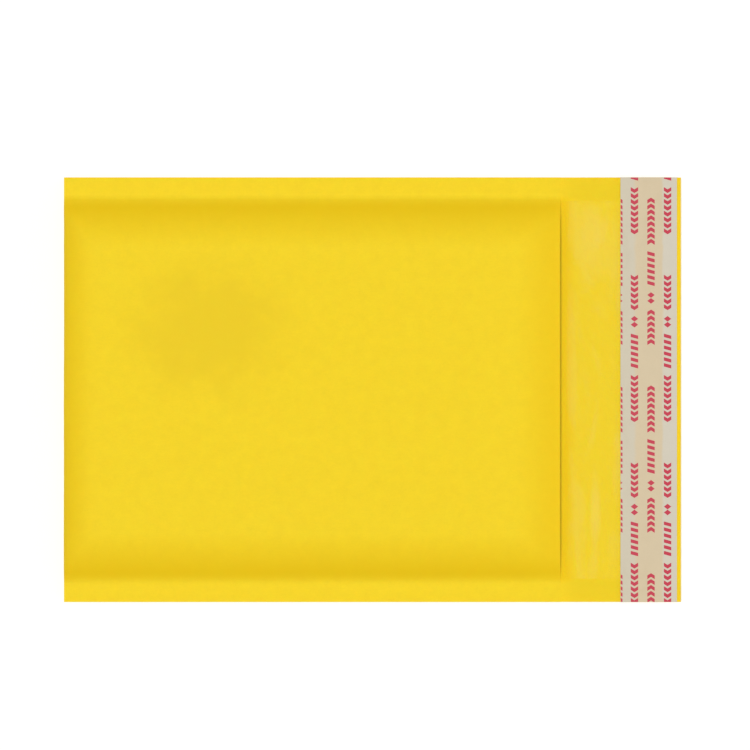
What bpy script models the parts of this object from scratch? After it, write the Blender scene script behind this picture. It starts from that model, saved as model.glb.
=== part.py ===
"""Padded mailing envelope, empty and open, lying flat on its back.

One folded paper sleeve (back panel, front panel and closing flap in one sheet),
one folded bubble film inside it, a band of glue along the flap and the release
strip that covers the glue. +X runs from the closed fold to the end of the flap,
+Z is up, and the part is the same on both sides of the plane Y = 0.
"""
import math

import bmesh
import bpy

# Driving sizes, in metres.
LENGTH = 0.218              # closed fold to the end of the flap
WIDTH = 0.150
FLAP_LENGTH = 0.0425        # mouth to the end of the flap
HEIGHT = 0.0110             # table to the top of the front panel
MOUTH_RUN = 0.030           # the panels draw together over this length before the mouth
MOUTH_DROP = 0.0025         # how much lower the front panel is at the mouth
MOUTH_BOW = 0.0007          # how far the mouth's edge draws back in the middle
SEAM_WIDTH = 0.0072         # flat sealed margin along each side
SEAM_THICKNESS = 0.0006     # both panels and the seal between them
SEAM_HEIGHT = 0.0032        # table to the underside of the seams and of the flap
SHOULDER = 0.0187           # seam to the flat middle of a panel
SHOULDER_POWER = 1.8        # how soon the shoulder rounds off
PAPER = 0.0002
LAYER_GAP = 0.0003          # paper to film, face to face on the flat
FILM = 0.00012              # the film's flat tail on the flap
FILM_SHARE = 0.24           # of the space inside the paper, for each layer of bubbles
FILM_SIDE_GAP = 0.0012      # seam to the side edge of the film
FILM_SET_BACK = 0.0010      # mouth to the film's edge under the front panel
FILM_END_RUN = 0.0200       # the bubbles die out over this length before the mouth
FILM_END_SHARE = 0.1        # what is left of them there
FILM_TAIL_START = 0.0005    # mouth to where only the flat film goes on
GLUE_START = 0.0270         # mouth to the band of glue
GLUE_WIDTH = 0.0090
GLUE_THICKNESS = 0.0002
STRIP_START = 0.0211        # mouth to the release strip
STRIP_WIDTH = 0.0199
STRIP_THICKNESS = 0.00012
STACK_GAP = 0.00015         # between the flap, the glue and the strip

# Places that follow from them.
FOLD_X = -LENGTH / 2
MOUTH_X = LENGTH / 2 - FLAP_LENGTH
FLAP_END_X = LENGTH / 2
HALF_WIDTH = WIDTH / 2
SEAM_Y = HALF_WIDTH - SEAM_WIDTH
FLAT_Y = SEAM_Y - SHOULDER
FILM_INSET = PAPER + LAYER_GAP
FILM_EDGE_Y = SEAM_Y - FILM_SIDE_GAP
FILM_TAIL_END_X = MOUTH_X + STRIP_START - 0.0010

# How finely the sheets are divided.
SHOULDER_STEPS = 6
MIDDLE_STEPS = 4
NOSE_STEPS = 7
DROP_STEPS = 5
RISE_STEPS = 6


def clamp(value):
    return max(0.0, min(1.0, value))


def ease(value):
    """0 to 1, level at both ends."""
    t = clamp(value)
    return t * t * (3 - 2 * t)


def crown(y):
    """How far a panel has swelled at this distance from the middle: 0 in the seam, 1 in the middle."""
    t = clamp((SEAM_Y - abs(y)) / SHOULDER)
    return 1 - (1 - t) ** SHOULDER_POWER


def front_height(x, y):
    """Top face of the front panel."""
    drop = MOUTH_DROP * clamp((x - MOUTH_X + MOUTH_RUN) / MOUTH_RUN) ** 2
    seam_top = SEAM_HEIGHT + SEAM_THICKNESS
    return seam_top + (HEIGHT - drop - seam_top) * crown(y)


def back_height(x, y):
    """Underside of the back panel, which rises to the seams, and of the flap, level with them."""
    rise = ease((x - MOUTH_X + MOUTH_RUN) / MOUTH_RUN)
    return SEAM_HEIGHT * (1 - crown(y) * (1 - rise))


def mouth_x(y):
    return MOUTH_X - MOUTH_BOW * crown(y)


def nose(y, inset):
    """The rounded fold at the closed end: middle height, and half axes above and below it."""
    low = back_height(FOLD_X, y) + inset
    high = front_height(FOLD_X, y) - inset
    middle = low + (high - low) * (0.5 - 0.1 * crown(y))
    up = high - middle
    down = middle - low
    return middle, up, up * (1 + 0.6 * crown(y)), down, down * (1 + 0.3 * crown(y))


def sheet_points(y, inset, front_end, back_stations):
    """One line along the folded sheet: from the mouth over the front, round the fold, to the far end."""
    middle, up, up_run, down, down_run = nose(y, inset)
    tip = FOLD_X + inset
    points = []
    front_start = tip + up_run
    drop_start = MOUTH_X - MOUTH_RUN
    for step in range(DROP_STEPS + 1):
        x = front_end + (drop_start - front_end) * step / DROP_STEPS
        points.append((x, y, front_height(x, y) - inset))
    halfway = (drop_start + front_start) / 2
    points.append((halfway, y, front_height(halfway, y) - inset))
    for step in range(NOSE_STEPS):
        angle = math.pi / 2 * (1 - step / NOSE_STEPS)
        points.append((front_start - up_run * math.cos(angle), y, middle + up * math.sin(angle)))
    for step in range(NOSE_STEPS + 1):
        angle = math.pi / 2 * step / NOSE_STEPS
        points.append((tip + down_run - down_run * math.cos(angle), y, middle - down * math.sin(angle)))
    for x in back_stations:
        points.append((x, y, back_height(x, y) + inset))
    return points


def across(edge):
    """Distances from the middle for the lines along a sheet, closer together on the shoulders."""
    right = [FLAT_Y * step / MIDDLE_STEPS for step in range(1, MIDDLE_STEPS + 1)]
    for step in range(1, SHOULDER_STEPS + 1):
        right.append(FLAT_Y + (min(edge, SEAM_Y) - FLAT_Y) * step / SHOULDER_STEPS)
    if edge > SEAM_Y:
        right.append(edge)
    return [-y for y in reversed(right)] + [0.0] + right


def rising_places():
    """Places along the back panel where it rises towards the mouth."""
    return [MOUTH_X - MOUTH_RUN * (1 - step / RISE_STEPS) for step in range(RISE_STEPS + 1)]


def clear_scene():
    for item in list(bpy.data.objects):
        bpy.data.objects.remove(item, do_unlink=True)


def new_collection(name):
    group = bpy.data.collections.new(name)
    bpy.context.scene.collection.children.link(group)
    return group


def new_material(name, color, roughness):
    material = bpy.data.materials.new(name)
    material.use_nodes = True
    shader = material.node_tree.nodes["Principled BSDF"]
    shader.inputs["Base Color"].default_value = (*color, 1.0)
    shader.inputs["Roughness"].default_value = roughness
    shader.inputs["Metallic"].default_value = 0.0
    return material


def folded_sheet(name, lines, material, group):
    """An open sheet through equal lines of points; its upper side becomes the outer face."""
    mesh = bpy.data.meshes.new(name)
    count = len(lines[0])
    vertices = [point for line in lines for point in line]
    faces = []
    for row in range(len(lines) - 1):
        for step in range(count - 1):
            corner = row * count + step
            faces.append((corner, corner + count, corner + count + 1, corner + 1))
    mesh.from_pydata(vertices, [], faces)
    mesh.materials.append(material)
    sheet = bpy.data.objects.new(name, mesh)
    group.objects.link(sheet)
    return sheet


def add_thickness(sheet, thickness):
    """Grow the sheet inwards, away from its outer face."""
    wall = sheet.modifiers.new("wall", "SOLIDIFY")
    wall.thickness = thickness
    wall.offset = -1.0
    return wall


def box(name, low, high, material, group):
    """A flat-sided piece between two corners."""
    size = [b - a for a, b in zip(low, high)]
    centre = [(a + b) / 2 for a, b in zip(low, high)]
    shape = bmesh.new()
    bmesh.ops.create_cube(shape, size=1.0)
    bmesh.ops.scale(shape, vec=size, verts=shape.verts)
    mesh = bpy.data.meshes.new(name)
    shape.to_mesh(mesh)
    shape.free()
    mesh.materials.append(material)
    piece = bpy.data.objects.new(name, mesh)
    piece.location = centre
    group.objects.link(piece)
    return piece


def seal_seams(sleeve, material, cutters):
    """Fill the slit between the two panels along both sides, where they are sealed together."""
    overlap = PAPER / 2
    for side in (-1, 1):
        edges = sorted((side * (SEAM_Y + 0.0003), side * (HALF_WIDTH - 0.0001)))
        low = (FOLD_X + 0.00015, edges[0], SEAM_HEIGHT + PAPER - overlap)
        high = (MOUTH_X - 0.0003, edges[1], SEAM_HEIGHT + SEAM_THICKNESS - PAPER + overlap)
        bar = box("seam_seal_left" if side < 0 else "seam_seal_right", low, high, material, cutters)
        bar.hide_render = True
        bar.display_type = "WIRE"
        join = sleeve.modifiers.new("seal", "BOOLEAN")
        join.operation = "UNION"
        join.object = bar


def paper_sleeve(material, group, cutters):
    """Back panel, front panel and flap: one sheet folded once at the closed end."""
    stations = [FOLD_X + LENGTH / 4, *rising_places(), FLAP_END_X]
    lines = [sheet_points(y, 0.0, mouth_x(y), stations) for y in across(HALF_WIDTH)]
    sleeve = folded_sheet("paper_sleeve", lines, material, group)
    add_thickness(sleeve, PAPER)
    seal_seams(sleeve, material, cutters)
    return sleeve


def film_thickness(x, y):
    """The bubble layer: thinner with the space between the panels, and flat film at the mouth."""
    inside = min(x, MOUTH_X)
    space = front_height(inside, y) - back_height(inside, y) - 2 * FILM_INSET
    ended = ease((x - MOUTH_X + FILM_END_RUN) / FILM_END_RUN)
    layer = FILM_SHARE * space * (1 - ended * (1 - FILM_END_SHARE))
    return FILM if x > MOUTH_X else max(FILM, layer)


def bubble_lining(material, group):
    """The bubble film: folded like the paper, with a flat tail on the flap."""
    stations = [FOLD_X + LENGTH / 4, *rising_places(), MOUTH_X + FILM_TAIL_START, FILM_TAIL_END_X]
    rows = across(FILM_EDGE_Y)
    lines = [sheet_points(y, FILM_INSET, mouth_x(y) - FILM_SET_BACK, stations) for y in rows]
    lining = folded_sheet("bubble_lining", lines, material, group)
    wall = add_thickness(lining, HEIGHT)
    weights = lining.vertex_groups.new(name="layer")
    for number, vertex in enumerate(lining.data.vertices):
        weights.add([number], film_thickness(vertex.co.x, vertex.co.y) / HEIGHT, "REPLACE")
    wall.vertex_group = weights.name
    return lining


def flap_layer(name, start, width, bottom, thickness, material, group):
    """A flat strip across the flap."""
    low = (MOUTH_X + start, -HALF_WIDTH, bottom)
    high = (MOUTH_X + start + width, HALF_WIDTH, bottom + thickness)
    return box(name, low, high, material, group)


def build():
    clear_scene()
    group = new_collection("padded_envelope")
    cutters = new_collection("joining_shapes")
    paper = new_material("golden_paper", (0.92, 0.62, 0.030), 0.7)
    film = new_material("clear_film", (0.86, 0.86, 0.84), 0.25)
    glue = new_material("tan_glue", (0.72, 0.55, 0.34), 0.4)
    release = new_material("release_paper", (0.63, 0.59, 0.50), 0.35)
    paper_sleeve(paper, group, cutters)
    bubble_lining(film, group)
    glue_bottom = SEAM_HEIGHT + PAPER + STACK_GAP
    flap_layer("adhesive_strip", GLUE_START, GLUE_WIDTH, glue_bottom, GLUE_THICKNESS, glue, group)
    strip_bottom = glue_bottom + GLUE_THICKNESS + STACK_GAP
    flap_layer("release_liner", STRIP_START, STRIP_WIDTH, strip_bottom, STRIP_THICKNESS, release, group)


build()
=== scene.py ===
import math

import bpy
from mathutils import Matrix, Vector, noise


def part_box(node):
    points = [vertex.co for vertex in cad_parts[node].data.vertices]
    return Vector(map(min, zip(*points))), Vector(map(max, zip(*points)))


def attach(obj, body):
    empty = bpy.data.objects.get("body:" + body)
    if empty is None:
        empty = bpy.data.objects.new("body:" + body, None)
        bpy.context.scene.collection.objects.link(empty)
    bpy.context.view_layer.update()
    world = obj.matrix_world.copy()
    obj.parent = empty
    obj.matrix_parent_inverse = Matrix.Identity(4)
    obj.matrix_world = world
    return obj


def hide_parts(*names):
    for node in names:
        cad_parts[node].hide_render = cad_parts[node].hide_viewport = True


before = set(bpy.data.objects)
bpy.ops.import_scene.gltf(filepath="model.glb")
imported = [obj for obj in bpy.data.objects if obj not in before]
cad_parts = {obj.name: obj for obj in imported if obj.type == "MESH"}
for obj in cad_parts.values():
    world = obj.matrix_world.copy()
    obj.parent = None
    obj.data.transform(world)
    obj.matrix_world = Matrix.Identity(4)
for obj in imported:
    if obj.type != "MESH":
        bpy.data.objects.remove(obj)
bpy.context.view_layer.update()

# ---------------------------------------------------------------- sizes, in metres
low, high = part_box("paper_sleeve")
FOLD_X = low.x
FLAP_END_X = high.x
HALF_WIDTH = high.y
HEIGHT = high.z
strip_low, strip_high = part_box("release_liner")

FLAP_LENGTH = 0.0425
MOUTH_X = FLAP_END_X - FLAP_LENGTH
MOUTH_RUN = 0.030
MOUTH_DROP = 0.0025
MOUTH_BOW = 0.0007
SEAM_WIDTH = 0.0072
SEAM_THICKNESS = 0.0004
SEAM_HEIGHT = 0.0032
SHOULDER = 0.0187
SHOULDER_POWER = 1.8
PAPER = 0.00018
SEAM_Y = HALF_WIDTH - SEAM_WIDTH
FLAT_Y = SEAM_Y - SHOULDER
FLAP_START_X = MOUTH_X - 0.004

NOSE_DROP = 0.1             # how much lower than halfway the swelled fold's tip lies
NOSE_UP_STRETCH = 0.6       # how much longer than high its upper arc is
NOSE_DOWN_STRETCH = 0.3     # and its lower arc
NOSE_UP_LENGTH = 0.009      # lengths round the fold, on the unfolded film
NOSE_DOWN_LENGTH = 0.006
NOSE_UP_REACH = 0.010
NOSE_DOWN_REACH = 0.006

QUILT_DEPTH = 0.00005
WAVE_DEPTH = 0.00013
PUCKER_DEPTH = 0.0003
PUCKER_EDGE_Y = SEAM_Y - 0.0012
PUCKER_PEAK = 6.75          # makes t * (1 - t) ** 2 peak at 1
SLACK_END_RUN = 0.02

FILM = 0.00006
FILM_GAP = 0.00014
FILM_EDGE_Y = SEAM_Y - 0.0010
FILM_MOUTH_INSET = 0.0006
BUBBLE_SHARE = 0.25
BUBBLE_END_RUN = 0.014
BUBBLE_PITCH = 0.0115
BUBBLE_RADIUS = 0.0050
BUBBLE_ROUNDNESS = 0.38
FILM_TAIL_END_X = strip_low.x + 0.0012

STRIP_THICKNESS = 0.00006
STRIP_RIPPLE = 0.00012
STRIP_HELD = 0.0045         # half of the strip's width that the glue holds flat
STRIP_FREE = 0.0055

INK_THICKNESS = 0.000015
INK_LIFT = 0.00003
MARK_HEIGHT = 0.0026
ARROW_WIDTH = 0.0021
ARROW_STROKE = 0.0013
SLASH_WIDTH = 0.0019
SLASH_STROKE = 0.0012
LOZENGE_WIDTH = 0.0020
PLACES_IN_RUN = 25
RUN_LENGTH = 0.0520
RUN_PERIOD = 0.0663
DOWN_RUN_START_Y = 0.0406
UP_RUN_END_Y = 0.0678
COLUMN_PITCH = 0.00585
FIRST_COLUMN = 0.0049       # strip's inner edge to the middle of the first full column
CUT_COLUMN_SHIFT = 0.00035
CUT_MARGIN = 0.00005


# ---------------------------------------------------------------- the shape of the folded sheets
def clamp(value):
    return max(0.0, min(1.0, value))


def ease(value):
    t = clamp(value)
    return t * t * (3 - 2 * t)


def crown(y):
    """How far a panel has swelled at this distance from the middle: 0 in the seam, 1 in the middle."""
    t = clamp((SEAM_Y - abs(y)) / SHOULDER)
    return 1 - (1 - t) ** SHOULDER_POWER


def front_height(x, y):
    drop = MOUTH_DROP * clamp((x - MOUTH_X + MOUTH_RUN) / MOUTH_RUN) ** 2
    seam_top = SEAM_HEIGHT + SEAM_THICKNESS
    return seam_top + (HEIGHT - drop - seam_top) * crown(y)


def back_height(x, y):
    """Underside of the back panel, which rises to the seams, and of the flap, level with them."""
    rise = ease((x - MOUTH_X + MOUTH_RUN) / MOUTH_RUN)
    return SEAM_HEIGHT * (1 - crown(y) * (1 - rise))


def mouth_x(y):
    return MOUTH_X - MOUTH_BOW * crown(y)


def path_stations(front_steps, drop_steps, nose_steps, back_steps, flap_places):
    """Names of the places along a folded sheet, from the mouth over the front to its far end."""
    places = [("drop", step / drop_steps) for step in range(drop_steps)]
    places += [("front", step / front_steps) for step in range(front_steps)]
    places += [("up", 1 - step / nose_steps) for step in range(nose_steps)]
    places += [("down", step / nose_steps) for step in range(nose_steps)]
    places += [("back", step / back_steps) for step in range(back_steps)]
    places += [("flap", x) for x in flap_places]
    return places


def path_point(place, y, inset, front_end):
    """A point of the sheet that lies this far inside the paper's outer face."""
    kind, amount = place
    swell = crown(y)
    bottom = back_height(FOLD_X, y) + inset
    top = front_height(FOLD_X, y) - inset
    middle = bottom + (top - bottom) * (0.5 - NOSE_DROP * swell)
    up_run = (top - middle) * (1 + NOSE_UP_STRETCH * swell)
    down_run = (middle - bottom) * (1 + NOSE_DOWN_STRETCH * swell)
    tip = FOLD_X + inset
    drop_start = MOUTH_X - MOUTH_RUN
    if kind == "drop":
        x = front_end + (drop_start - front_end) * amount
        return Vector((x, y, front_height(x, y) - inset))
    if kind == "front":
        x = drop_start + (tip + up_run - drop_start) * amount
        return Vector((x, y, front_height(x, y) - inset))
    if kind == "up":
        angle = amount * math.pi / 2
        x = tip + up_run * (1 - math.cos(angle))
        return Vector((x, y, middle + (top - middle) * math.sin(angle)))
    if kind == "down":
        angle = amount * math.pi / 2
        x = tip + down_run * (1 - math.cos(angle))
        return Vector((x, y, middle - (middle - bottom) * math.sin(angle)))
    if kind == "back":
        x = tip + down_run + (FLAP_START_X - tip - down_run) * amount
        return Vector((x, y, back_height(x, y) + inset))
    return Vector((amount, y, back_height(amount, y) + inset))


def spread(start, end, count):
    return [start + (end - start) * step / count for step in range(count)]


def rows_across(edge, seam_steps, shoulder_steps, middle_steps):
    """Places across the sheet, closer together on the shoulders."""
    side = spread(-edge, -SEAM_Y, seam_steps) if seam_steps else []
    shoulder_start = -SEAM_Y if seam_steps else -edge
    side += spread(shoulder_start, -FLAT_Y, shoulder_steps)
    middle = spread(-FLAT_Y, FLAT_Y, middle_steps) + [FLAT_Y]
    return side + middle + [-y for y in reversed(side)]


# ---------------------------------------------------------------- modelling by hand, in code
def deselect_all():
    bpy.ops.object.select_all(action="DESELECT")


def sheet_from_grid(name, places, rows, rule):
    """A flat grid with one line for each place and row, laid into shape by a rule."""
    deselect_all()
    columns = len(places) - 1
    lines = len(rows) - 1
    bpy.ops.mesh.primitive_grid_add(x_subdivisions=columns, y_subdivisions=lines, size=2)
    sheet = bpy.context.object
    sheet.name = name
    sheet.data.name = name
    for vertex in sheet.data.vertices:
        column = round((vertex.co.x + 1) / 2 * columns)
        line = round((vertex.co.y + 1) / 2 * lines)
        vertex.co = rule(places[column], rows[lines - line])
    return sheet


def apply_wall(piece, thickness, offset):
    deselect_all()
    piece.select_set(True)
    bpy.context.view_layer.objects.active = piece
    wall = piece.modifiers.new("wall", "SOLIDIFY")
    wall.thickness = thickness
    wall.offset = offset
    bpy.ops.object.modifier_apply(modifier=wall.name)


def finish_piece(piece, material, sharp_degrees=35):
    deselect_all()
    piece.select_set(True)
    bpy.context.view_layer.objects.active = piece
    bpy.ops.object.shade_smooth_by_angle(angle=math.radians(sharp_degrees))
    piece.data.materials.clear()
    piece.data.materials.append(material)
    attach(piece, "root")


def linear(red, green, blue):
    """A screen colour from 0 to 255 as the linear values that shaders use."""
    values = []
    for channel in (red, green, blue):
        c = channel / 255
        values.append(c / 12.92 if c <= 0.04045 else ((c + 0.055) / 1.055) ** 2.4)
    return (*values, 1.0)


# ---------------------------------------------------------------- shader helpers
def add_node(tree, kind, inputs=None, **settings):
    node = tree.nodes.new(kind)
    for name, value in settings.items():
        setattr(node, name, value)
    for name, value in (inputs or {}).items():
        if isinstance(value, bpy.types.NodeSocket):
            tree.links.new(value, node.inputs[name])
        else:
            node.inputs[name].default_value = value
    return node


def math_node(tree, operation, first, second=0.0, third=0.0):
    inputs = {0: first, 1: second, 2: third}
    return add_node(tree, "ShaderNodeMath", inputs, operation=operation).outputs[0]


def noise_value(tree, vector, scale, detail=2.0, roughness=0.5, distortion=0.0):
    inputs = {"Vector": vector, "Scale": scale, "Detail": detail}
    inputs.update({"Roughness": roughness, "Distortion": distortion})
    return add_node(tree, "ShaderNodeTexNoise", inputs).outputs["Fac"]


def between(tree, value, low_end, high_end, to_low=0.0, to_high=1.0, smooth=True):
    inputs = {"Value": value, "From Min": low_end, "From Max": high_end, "To Min": to_low, "To Max": to_high}
    kind = "SMOOTHSTEP" if smooth else "LINEAR"
    return add_node(tree, "ShaderNodeMapRange", inputs, interpolation_type=kind).outputs["Result"]


def blend_colour(tree, factor, first, second, mode="MIX"):
    node = tree.nodes.new("ShaderNodeMix")
    node.data_type = "RGBA"
    node.blend_type = mode
    for socket, value in ((node.inputs[0], factor), (node.inputs[6], first), (node.inputs[7], second)):
        if isinstance(value, bpy.types.NodeSocket):
            tree.links.new(value, socket)
        else:
            socket.default_value = value
    return node.outputs[2]


def new_group(name, inputs, outputs):
    """An empty shader group; inputs and outputs are pairs of a name and a socket type."""
    tree = bpy.data.node_groups.new(name, "ShaderNodeTree")
    for label, kind in inputs:
        tree.interface.new_socket(name=label, in_out="INPUT", socket_type=kind)
    for label, kind in outputs:
        tree.interface.new_socket(name=label, in_out="OUTPUT", socket_type=kind)
    return tree, tree.nodes.new("NodeGroupInput").outputs, tree.nodes.new("NodeGroupOutput").inputs


def use_group(tree, group, inputs):
    return add_node(tree, "ShaderNodeGroup", inputs, node_tree=group).outputs


def object_place(tree):
    return add_node(tree, "ShaderNodeTexCoord").outputs["Object"]


def split_place(tree, place):
    return add_node(tree, "ShaderNodeSeparateXYZ", {0: place}).outputs


def add_bump(tree, shader, height, strength, distance):
    bump = add_node(tree, "ShaderNodeBump", {"Height": height, "Strength": strength, "Distance": distance})
    tree.links.new(bump.outputs["Normal"], shader.inputs["Normal"])


def soft_patch(tree, place, centre, size):
    inputs = {"Place": place, "Centre": centre, "Size": size, "Raggedness": 0.9}
    return use_group(tree, PATCH, inputs)["Mask"]


def new_material(name):
    material = bpy.data.materials.new(name)
    material.use_nodes = True
    tree = material.node_tree
    return material, tree, tree.nodes["Principled BSDF"]


FLOAT, COLOUR, VECTOR = "NodeSocketFloat", "NodeSocketColor", "NodeSocketVector"


def paper_fibre_group():
    """Cloudy formation, fine fibres and specks of a machine-made paper."""
    wanted = [("Place", VECTOR), ("Tone", COLOUR), ("Contrast", FLOAT)]
    tree, given, out = new_group("paper_fibre", wanted, [("Color", COLOUR), ("Height", FLOAT)])
    cloud = noise_value(tree, given["Place"], 260.0, 4.0, 0.6)
    fine = noise_value(tree, given["Place"], 1500.0, 3.0, 0.65)
    along = add_node(tree, "ShaderNodeMapping", {"Vector": given["Place"], "Scale": (500.0, 2600.0, 900.0)})
    fibre = noise_value(tree, along.outputs["Vector"], 1.0, 2.0, 0.6, 0.4)
    mixed = math_node(tree, "MULTIPLY_ADD", cloud, 0.9, math_node(tree, "MULTIPLY", fine, 0.7))
    mixed = math_node(tree, "MULTIPLY_ADD", fibre, 0.5, mixed)
    centred = math_node(tree, "SUBTRACT", mixed, 1.05)
    shade = math_node(tree, "MULTIPLY_ADD", centred, given["Contrast"], 1.0)
    grey = add_node(tree, "ShaderNodeCombineColor", {"Red": shade, "Green": shade, "Blue": shade})
    shaded = blend_colour(tree, 1.0, given["Tone"], grey.outputs["Color"], "MULTIPLY")
    height = math_node(tree, "MULTIPLY_ADD", fibre, 0.5, math_node(tree, "MULTIPLY", fine, 0.5))
    tree.links.new(shaded, out["Color"])
    tree.links.new(height, out["Height"])
    return tree


def soft_patch_group():
    """A cloud-edged patch: 1 at its centre, 0 past its size."""
    wanted = [("Place", VECTOR), ("Centre", VECTOR), ("Size", VECTOR), ("Raggedness", FLOAT)]
    tree, given, out = new_group("soft_patch", wanted, [("Mask", FLOAT)])
    kind = "ShaderNodeVectorMath"
    away = add_node(tree, kind, {0: given["Place"], 1: given["Centre"]}, operation="SUBTRACT")
    scaled = add_node(tree, kind, {0: away.outputs[0], 1: given["Size"]}, operation="DIVIDE")
    far = add_node(tree, kind, {0: scaled.outputs[0]}, operation="LENGTH").outputs["Value"]
    rough = math_node(tree, "SUBTRACT", noise_value(tree, given["Place"], 90.0, 4.0, 0.6), 0.5)
    ragged = math_node(tree, "MULTIPLY_ADD", rough, given["Raggedness"], far)
    tree.links.new(between(tree, ragged, 1.0, 0.25), out["Mask"])
    return tree


def film_marks_group():
    """Smears, streaks and fine scuffs of a thin glossy surface."""
    wanted = [("Place", VECTOR), ("Stretch", VECTOR)]
    made = [("Smear", FLOAT), ("Scuff", FLOAT), ("Height", FLOAT)]
    tree, given, out = new_group("film_marks", wanted, made)
    drawn = add_node(tree, "ShaderNodeMapping", {"Vector": given["Place"], "Scale": given["Stretch"]})
    smear = noise_value(tree, drawn.outputs["Vector"], 1.0, 5.0, 0.62, 0.8)
    fine = noise_value(tree, given["Place"], 620.0, 3.0, 0.6, 0.3)
    wave = noise_value(tree, given["Place"], 140.0, 2.0, 0.5, 0.5)
    tree.links.new(between(tree, smear, 0.48, 0.72), out["Smear"])
    tree.links.new(between(tree, fine, 0.52, 0.72), out["Scuff"])
    tree.links.new(math_node(tree, "MULTIPLY_ADD", fine, 0.25, wave), out["Height"])
    return tree


FIBRE = paper_fibre_group()
PATCH = soft_patch_group()
MARKS = film_marks_group()


# ---------------------------------------------------------------- materials
def darker_patch(tree, place, colour):
    """A darker patch on the top of the front panel."""
    patch = soft_patch(tree, place, (-0.057, 0.022, 0.012), (0.038, 0.032, 0.02))
    above = between(tree, split_place(tree, place)["Z"], 0.006, 0.010)
    weight = math_node(tree, "MULTIPLY", math_node(tree, "MULTIPLY", patch, above), 0.8)
    return blend_colour(tree, weight, colour, linear(235, 200, 38))


def painted_slope_shade(tree, along, aside, inside_seams):
    """Mask of painted shade on the front panel: its sloping shoulders, and its ends at the fold and the
    mouth.
    """
    rising = between(tree, aside, FLAT_Y + 0.001, FLAT_Y + 0.0162, smooth=False)
    falling = between(tree, aside, SEAM_Y - 0.004, SEAM_Y + 0.001, 1.0, 0.0)
    shoulder = math_node(tree, "MULTIPLY", rising, falling)
    by_fold = between(tree, along, FOLD_X, FOLD_X + 0.014, 0.7, 0.0)
    by_mouth = between(tree, along, MOUTH_X - 0.018, MOUTH_X - 0.002, 0.0, 0.6)
    ends = math_node(tree, "MULTIPLY", math_node(tree, "MAXIMUM", by_fold, by_mouth), inside_seams)
    return math_node(tree, "MAXIMUM", shoulder, ends)


def golden_paper():
    """Kraft dyed right through and duller on the flap's inner face, with painted shade on the front panel's
    shoulders and its ends by the fold and the mouth, and a painted shadow on the flap just past the mouth.
    """
    material, tree, shader = new_material("golden_paper")
    place = object_place(tree)
    fibre = use_group(tree, FIBRE, {"Place": place, "Tone": linear(246, 209, 39), "Contrast": 0.11})
    patched = darker_patch(tree, place, fibre["Color"])
    along = split_place(tree, place)["X"]
    aside = math_node(tree, "ABSOLUTE", split_place(tree, place)["Y"])
    in_front = between(tree, along, MOUTH_X - 0.001, MOUTH_X + 0.001, 1.0, 0.0)
    inside_seams = between(tree, aside, SEAM_Y - 0.002, SEAM_Y + 0.001, 1.0, 0.0)
    # painted shade: the front panel's shoulders and its ends by the fold and the mouth turn a darker, more
    # orange gold, standing in for the shading of their slopes
    drawn = math_node(tree, "MULTIPLY", painted_slope_shade(tree, along, aside, inside_seams), in_front)
    shaded_tone = blend_colour(tree, math_node(tree, "MULTIPLY", drawn, 0.8), patched, linear(231, 189, 9))
    inner = between(tree, along, MOUTH_X - 0.004, MOUTH_X + 0.008, 0.0, 0.5)
    inner_tone = blend_colour(tree, inside_seams, linear(226, 198, 32), linear(236, 203, 32))
    duller = blend_colour(tree, inner, shaded_tone, inner_tone)
    # painted shadow: a deep gold strip on the flap just past the mouth, where the front panel's edge casts
    # its shadow
    mouth_shadow = between(tree, along, MOUTH_X + 0.0015, MOUTH_X + 0.0060, 0.9, 0.0)
    kept = math_node(tree, "MULTIPLY", math_node(tree, "SUBTRACT", 1.0, in_front), inside_seams)
    tone = blend_colour(tree, math_node(tree, "MULTIPLY", mouth_shadow, kept), duller, linear(240, 197, 4))
    tree.links.new(tone, shader.inputs["Base Color"])
    shader.inputs["Roughness"].default_value = 0.75
    shader.inputs["Specular IOR Level"].default_value = 0.1
    shader.inputs["Subsurface Weight"].default_value = 0.4
    shader.inputs["Subsurface Scale"].default_value = 0.0004
    shader.inputs["Subsurface Radius"].default_value = (1.0, 0.6, 0.15)
    add_bump(tree, shader, fibre["Height"], 0.18, 0.00008)
    return material


HAZE_AND_GLINT_PATCHES = (            # centre and size of the clearest clouded patch on the flap, and of a painted highlight along a crease in the film
    ((0.0771, 0.0549, 0.0), (0.0065, 0.013, 1.0)),
    ((0.0787, -0.0428, 0.0), (0.0024, 0.018, 1.0)),
)


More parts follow.
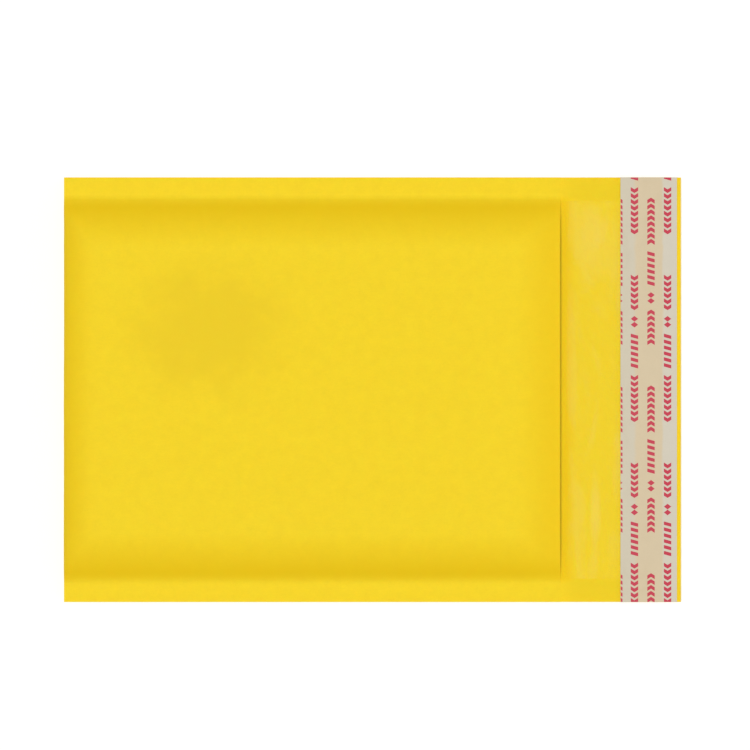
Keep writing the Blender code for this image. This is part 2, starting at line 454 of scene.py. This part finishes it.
def clear_film():
    """Clear polyethylene: a thin glossy film that whitens where it is stretched or smeared, with a painted
    highlight along one crease on the flap.
    """
    material, tree, shader = new_material("clear_film")
    place = object_place(tree)
    marks = use_group(tree, MARKS, {"Place": place, "Stretch": (120.0, 28.0, 60.0)})
    along = split_place(tree, place)["X"]
    in_pocket = between(tree, along, MOUTH_X - 0.006, MOUTH_X - 0.001, 1.0, 0.0)
    # painted shade: the film's whitening on the flap starts a few millimetres past the mouth, so the strip
    # in the mouth edge's shadow stays darker
    on_flap = between(tree, along, MOUTH_X + 0.0012, MOUTH_X + 0.0034)
    smear = math_node(tree, "MULTIPLY", marks["Smear"], 0.014)
    haze_and_glint = math_node(tree, "MULTIPLY_ADD", marks["Scuff"], 0.006, smear)
    # the first patch is clouded film; the second is a painted highlight where a crease in the film catches
    # the light
    for centre, size in HAZE_AND_GLINT_PATCHES:
        haze_and_glint = math_node(tree, "MULTIPLY_ADD", soft_patch(tree, place, centre, size), 0.015, haze_and_glint)
    pocket = math_node(tree, "MULTIPLY_ADD", in_pocket, 0.24, 0.002)
    clouded = math_node(tree, "MAXIMUM", on_flap, in_pocket)
    alpha = math_node(tree, "MULTIPLY_ADD", clouded, haze_and_glint, pocket)
    tree.links.new(alpha, shader.inputs["Alpha"])
    shader.inputs["Base Color"].default_value = (0.92, 0.92, 0.90, 1.0)
    rough = between(tree, marks["Smear"], 0.0, 1.0, 0.16, 0.34)
    tree.links.new(rough, shader.inputs["Roughness"])
    add_bump(tree, shader, marks["Height"], 0.25, 0.0002)
    return material


def tan_glue():
    material, tree, shader = new_material("tan_glue")
    place = object_place(tree)
    marks = use_group(tree, MARKS, {"Place": place, "Stretch": (700.0, 90.0, 300.0)})
    tone = blend_colour(tree, marks["Smear"], linear(214, 190, 148), linear(196, 166, 118))
    tree.links.new(tone, shader.inputs["Base Color"])
    shader.inputs["Roughness"].default_value = 0.3
    add_bump(tree, shader, marks["Height"], 0.4, 0.0002)
    return material


def release_paper():
    """Thin glazed paper; the band of glue shows through it."""
    material, tree, shader = new_material("release_paper")
    place = object_place(tree)
    glue_low, glue_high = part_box("adhesive_strip")
    along = split_place(tree, place)["X"]
    wander = math_node(tree, "SUBTRACT", noise_value(tree, place, 170.0, 3.0, 0.6), 0.5)
    x = math_node(tree, "MULTIPLY_ADD", wander, 0.0016, along)
    soft = 0.0005
    inner = between(tree, x, glue_low.x - 3 * soft, glue_low.x)
    outer = between(tree, x, glue_high.x - soft, glue_high.x + soft, 1.0, 0.0)
    band = math_node(tree, "MULTIPLY", inner, outer)
    across = between(tree, along, strip_low.x, strip_high.x)
    plain = blend_colour(tree, across, linear(199, 189, 166), linear(203, 195, 177))
    base = blend_colour(tree, band, plain, linear(205, 187, 154))
    fibre = use_group(tree, FIBRE, {"Place": place, "Tone": base, "Contrast": 0.07})
    tree.links.new(fibre["Color"], shader.inputs["Base Color"])
    marks = use_group(tree, MARKS, {"Place": place, "Stretch": (150.0, 60.0, 60.0)})
    rough = between(tree, marks["Smear"], 0.0, 1.0, 0.42, 0.52)
    tree.links.new(rough, shader.inputs["Roughness"])
    shader.inputs["Specular IOR Level"].default_value = 0.15
    add_bump(tree, shader, marks["Height"], 0.15, 0.0002)
    return material


def red_ink():
    material, tree, shader = new_material("red_ink")
    place = object_place(tree)
    thin = noise_value(tree, place, 2200.0, 3.0, 0.7)
    worn = between(tree, thin, 0.42, 0.78)
    tone = blend_colour(tree, worn, linear(184, 0, 46), linear(194, 20, 62))
    tree.links.new(tone, shader.inputs["Base Color"])
    shader.inputs["Roughness"].default_value = 0.45
    shader.inputs["Specular IOR Level"].default_value = 0.3
    return material


def pale_floor():
    material, tree, shader = new_material("pale_floor")
    cloud = noise_value(tree, object_place(tree), 6.0)
    tone = blend_colour(tree, cloud, linear(254, 254, 254), linear(252, 252, 252))
    tree.links.new(tone, shader.inputs["Base Color"])
    shader.inputs["Roughness"].default_value = 0.9
    shader.inputs["Specular IOR Level"].default_value = 0.1
    return material


# ---------------------------------------------------------------- pieces
def slack(place, point):
    """How far the paper has sunk between the bubbles and waved where it is free of them."""
    if abs(point.y) > SEAM_Y or point.x > FLAP_START_X:
        return 0.0
    swell = crown(point.y)
    face = 3.0 if place[0] == "back" else 0.0
    between_bubbles = 1 - bubble_swell(unfolded(place, point), point.y)
    wave = noise.noise(Vector((point.x * 22, point.y * 30, face)))
    sunk = swell * (QUILT_DEPTH * between_bubbles + WAVE_DEPTH * (1 + wave))
    t = clamp((PUCKER_EDGE_Y - abs(point.y)) / SHOULDER)
    side = 7.0 if point.y > 0 else 0.0
    pucker = abs(noise.noise(Vector((point.x * 75 + point.y * 8, side, face))))
    sunk += PUCKER_DEPTH * PUCKER_PEAK * t * (1 - t) ** 2 * max(0.0, 1 - 3.0 * pucker)
    return sunk * ease((FLAP_START_X - point.x) / SLACK_END_RUN)


def paper_sleeve_piece(material):
    """Back panel, front panel and flap in one folded sheet."""
    flap_places = spread(FLAP_START_X, FLAP_END_X, 24) + [FLAP_END_X]
    places = path_stations(108, 22, 16, 96, flap_places)
    rows = rows_across(HALF_WIDTH, 6, 20, 40)

    def rule(place, y):
        point = path_point(place, y, 0.0, mouth_x(y))
        return path_point(place, y, slack(place, point), mouth_x(y))

    sleeve = sheet_from_grid("sleeve_paper", places, rows, rule)
    apply_wall(sleeve, PAPER, -1.0)
    finish_piece(sleeve, material, 55)
    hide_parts("paper_sleeve")


def bubble_swell(s, y):
    """Height of the bubbles over the flat film, as a share of the layer, on the unfolded film."""
    line_pitch = BUBBLE_PITCH * math.sqrt(3) / 2
    line = math.floor(s / line_pitch)
    best = 1.0
    for candidate in (line, line + 1):
        shift = 0.5 * BUBBLE_PITCH * (candidate % 2)
        column = round((y - shift) / BUBBLE_PITCH)
        away = math.hypot(s - candidate * line_pitch, y - shift - column * BUBBLE_PITCH)
        best = min(best, away / BUBBLE_RADIUS)
    return (1 - best * best) ** BUBBLE_ROUNDNESS if best < 1.0 else 0.0


def unfolded(place, point):
    """Distance along the film from the mouth, over the front and round the fold."""
    kind, amount = place
    front = MOUTH_X - FOLD_X - NOSE_UP_REACH
    if kind in ("drop", "front"):
        return MOUTH_X - point.x
    if kind == "up":
        return front + (1 - amount) * NOSE_UP_LENGTH
    if kind == "down":
        return front + NOSE_UP_LENGTH + amount * NOSE_DOWN_LENGTH
    return front + NOSE_UP_LENGTH + NOSE_DOWN_LENGTH + (point.x - FOLD_X - NOSE_DOWN_REACH)


def layer_thickness(x, y):
    """The space that one layer of bubbles fills; they die out towards the mouth."""
    inside = min(x, MOUTH_X)
    space = front_height(inside, y) - back_height(inside, y) - 2 * (PAPER + FILM_GAP)
    kept = 1 - ease((x - MOUTH_X + BUBBLE_END_RUN + 0.002) / BUBBLE_END_RUN)
    return max(FILM, BUBBLE_SHARE * space * kept)


def bubble_film_piece(material):
    """The bubble film: domes against the paper, its flat face towards the goods."""
    flap_places = spread(FLAP_START_X, FILM_TAIL_END_X, 16) + [FILM_TAIL_END_X]
    places = path_stations(118, 30, 12, 140, flap_places)
    rows = rows_across(FILM_EDGE_Y, 0, 18, 84)
    inset = PAPER + FILM_GAP
    domes = []

    def rule(place, y):
        front_end = mouth_x(y) - FILM_MOUTH_INSET
        outer = path_point(place, y, 0.0, front_end)
        start = inset + slack(place, outer)
        layer = layer_thickness(outer.x, y)
        flat = path_point(place, y, start + layer, front_end)
        height = FILM + (layer - FILM) * bubble_swell(unfolded(place, flat), y)
        domes.append(path_point(place, y, start + layer - height, front_end))
        return flat

    film = sheet_from_grid("bubble_film", places, rows, rule)
    apply_wall(film, FILM, -1.0)
    for vertex, dome in zip(film.data.vertices[len(domes):], domes):
        vertex.co = dome
    bpy.ops.object.mode_set(mode="EDIT")
    bpy.ops.mesh.select_all(action="SELECT")
    bpy.ops.mesh.flip_normals()
    bpy.ops.object.mode_set(mode="OBJECT")
    finish_piece(film, material, 60)
    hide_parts("bubble_lining")


def strip_height(x, y):
    """Top of the release strip: held flat over the glue, rippling slightly along its free edges."""
    middle = (strip_low.x + strip_high.x) / 2
    free = clamp((abs(x - middle) - STRIP_HELD) / STRIP_FREE)
    side = 3.0 if x > middle else 0.0
    ripple = noise.noise(Vector((side, y * 45.0, 0.0)))
    return strip_high.z - free * free * STRIP_RIPPLE * (1 - ripple)


def release_strip_piece(material):
    places = [("strip", x) for x in spread(strip_low.x, strip_high.x, 16) + [strip_high.x]]
    rows = [-y for y in spread(-HALF_WIDTH, HALF_WIDTH, 120) + [HALF_WIDTH]]

    def rule(place, y):
        x = place[1]
        return Vector((x, y, strip_height(x, y)))

    strip = sheet_from_grid("release_strip", places, rows, rule)
    apply_wall(strip, STRIP_THICKNESS, -1.0)
    finish_piece(strip, material)
    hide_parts("release_liner")


def flat_mark(corners):
    """A flat mark: an outline of corners filled with one face."""
    bpy.ops.mesh.primitive_circle_add(vertices=len(corners), radius=0.001, fill_type="NGON")
    mark = bpy.context.object
    for vertex, corner in zip(mark.data.vertices, corners):
        vertex.co = (corner[0], corner[1], 0.0)
    return mark


def chevron_corners(width, height, stroke):
    half = height / 2
    return [(0, -half), (stroke, -half), (width, 0), (stroke, half), (0, half), (width - stroke, 0)]


def slash_corners(width, height, stroke):
    half = height / 2
    return [(0, -half), (stroke, -half), (width, half), (width - stroke, half)]


def lozenge_corners(width, height):
    half = height / 2
    return [(0, 0), (width / 2, -half), (width, 0), (width / 2, half)]


def join_selected(marks, name):
    deselect_all()
    for mark in marks:
        mark.select_set(True)
    bpy.context.view_layer.objects.active = marks[0]
    bpy.ops.object.join()
    marks[0].name = name
    marks[0].data.name = name
    return marks[0]


def ink_run():
    """One run of marks along +X: groups of arrowheads, lozenges and strokes."""
    slot = RUN_LENGTH / PLACES_IN_RUN
    marks = []
    place = 0
    for count, kind in ((6, "arrow"), (2, "lozenge"), (6, "stroke"), (8, "arrow")):
        for _ in range(count):
            deselect_all()
            if kind == "arrow":
                corners = chevron_corners(ARROW_WIDTH, MARK_HEIGHT, ARROW_STROKE)
            elif kind == "lozenge":
                corners = lozenge_corners(LOZENGE_WIDTH, MARK_HEIGHT)
            else:
                corners = slash_corners(SLASH_WIDTH, MARK_HEIGHT, SLASH_STROKE)
            start = place * slot
            marks.append(flat_mark([(x + start, y) for x, y in corners]))
            place += 1
        place += 1
    return join_selected(marks, "ink_run")


def place_run(run, x, start_y, upward):
    """A copy of the run beside the strip's edge, read upward or downward."""
    copy = run.copy()
    copy.data = run.data.copy()
    bpy.context.scene.collection.objects.link(copy)
    turn = 1 if upward else -1
    for vertex in copy.data.vertices:
        along, aside = vertex.co.x, vertex.co.y
        vertex.co = (x - turn * aside, start_y + turn * along, 0.0)
    return copy


def trim(piece, point, normal):
    """Cut off what lies past a plane."""
    deselect_all()
    piece.select_set(True)
    bpy.context.view_layer.objects.active = piece
    bpy.ops.object.mode_set(mode="EDIT")
    bpy.ops.mesh.select_all(action="SELECT")
    bpy.ops.mesh.bisect(plane_co=point, plane_no=normal, clear_outer=True, threshold=0.000001)
    bpy.ops.object.mode_set(mode="OBJECT")


def strip_print_piece(material):
    """Rows of plain red marks on the strip, cut off where the strip was cut."""
    run = ink_run()
    copies = []
    for column in range(-1, 3):
        x = strip_low.x + FIRST_COLUMN + column * COLUMN_PITCH
        if column == -1:
            x += CUT_COLUMN_SHIFT
        for repeat in range(-2, 3):
            if column % 2 == 0:
                start = DOWN_RUN_START_Y - repeat * RUN_PERIOD
                ends = (start, start - RUN_LENGTH)
            else:
                start = UP_RUN_END_Y - RUN_LENGTH - repeat * RUN_PERIOD
                ends = (start, start + RUN_LENGTH)
            if min(ends) < HALF_WIDTH and max(ends) > -HALF_WIDTH:
                copies.append(place_run(run, x, start, column % 2 == 1))
    bpy.data.objects.remove(run)
    ink = join_selected(copies, "strip_print")
    trim(ink, (strip_low.x + CUT_MARGIN, 0, 0), (-1, 0, 0))
    trim(ink, (0, HALF_WIDTH - CUT_MARGIN, 0), (0, 1, 0))
    trim(ink, (0, CUT_MARGIN - HALF_WIDTH, 0), (0, -1, 0))
    bpy.ops.object.mode_set(mode="EDIT")
    bpy.ops.mesh.select_all(action="SELECT")
    bpy.ops.mesh.normals_make_consistent(inside=False)
    bpy.ops.object.mode_set(mode="OBJECT")
    for vertex in ink.data.vertices:
        vertex.co.z = strip_height(vertex.co.x, vertex.co.y) + INK_LIFT
    apply_wall(ink, INK_THICKNESS, 0.0)
    finish_piece(ink, material)


def glue_band(material):
    """The band of glue keeps its shape and gets its finish."""
    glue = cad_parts["adhesive_strip"]
    glue.data.materials.clear()
    glue.data.materials.append(material)


# ---------------------------------------------------------------- stage, light and camera
FLOOR_SIZE = 6.0
FLOOR_GAP = 0.0002
SUNS = (                    # name, energy, angle and tilt towards +X, in degrees
    ("overhead", 1.52, 26, 0),
    ("key", 1.2, 8, -11.5),
    ("fill", 0.5, 20, 76),
)


def studio_floor(material):
    deselect_all()
    bpy.ops.mesh.primitive_plane_add(size=FLOOR_SIZE, location=(0, 0, -FLOOR_GAP))
    floor = bpy.context.object
    floor.name = "floor"
    floor.data.transform(floor.matrix_world)
    floor.matrix_world.identity()
    floor.location = (0, 0, 0)
    floor.data.materials.append(material)


def suns():
    for name, energy, angle, tilt in SUNS:
        lamp = bpy.data.lights.new(name, "SUN")
        lamp.energy = energy
        lamp.angle = math.radians(angle)
        lamp_object = bpy.data.objects.new(name, lamp)
        bpy.context.scene.collection.objects.link(lamp_object)
        lamp_object.rotation_euler = (0.0, math.radians(tilt), 0.0)


def studio_world():
    """A dim even light from all round, with a pale backdrop behind the floor."""
    world = bpy.data.worlds.new("studio")
    bpy.context.scene.world = world
    world.use_nodes = True
    tree = world.node_tree
    light = tree.nodes["Background"]
    light.inputs["Color"].default_value = (1.0, 1.0, 1.0, 1.0)
    light.inputs["Strength"].default_value = 0.17
    backdrop = add_node(tree, "ShaderNodeBackground", {"Color": (1.0, 1.0, 1.0, 1.0), "Strength": 0.93})
    seen = add_node(tree, "ShaderNodeLightPath").outputs["Is Camera Ray"]
    mixed = add_node(tree, "ShaderNodeMixShader", {0: seen, 1: light.outputs[0], 2: backdrop.outputs[0]})
    tree.links.new(mixed.outputs[0], tree.nodes["World Output"].inputs["Surface"])


def camera_above():
    """Looking straight down, with the flap to the right."""
    view_width = 0.2651
    view_centre = (0.0009, 0.0052)
    camera = bpy.data.cameras.new("camera")
    camera.lens = 100.0
    camera.sensor_width = 36.0
    camera_object = bpy.data.objects.new("camera", camera)
    bpy.context.scene.collection.objects.link(camera_object)
    distance = view_width * camera.lens / camera.sensor_width
    camera_object.location = (*view_centre, distance + SEAM_HEIGHT)
    camera.clip_start = 0.01
    bpy.context.scene.camera = camera_object


studio_floor(pale_floor())
studio_world()
suns()
camera_above()
paper_sleeve_piece(golden_paper())
bubble_film_piece(clear_film())
release_strip_piece(release_paper())
strip_print_piece(red_ink())
glue_band(tan_glue())
bpy.context.scene.view_settings.view_transform = "Standard"
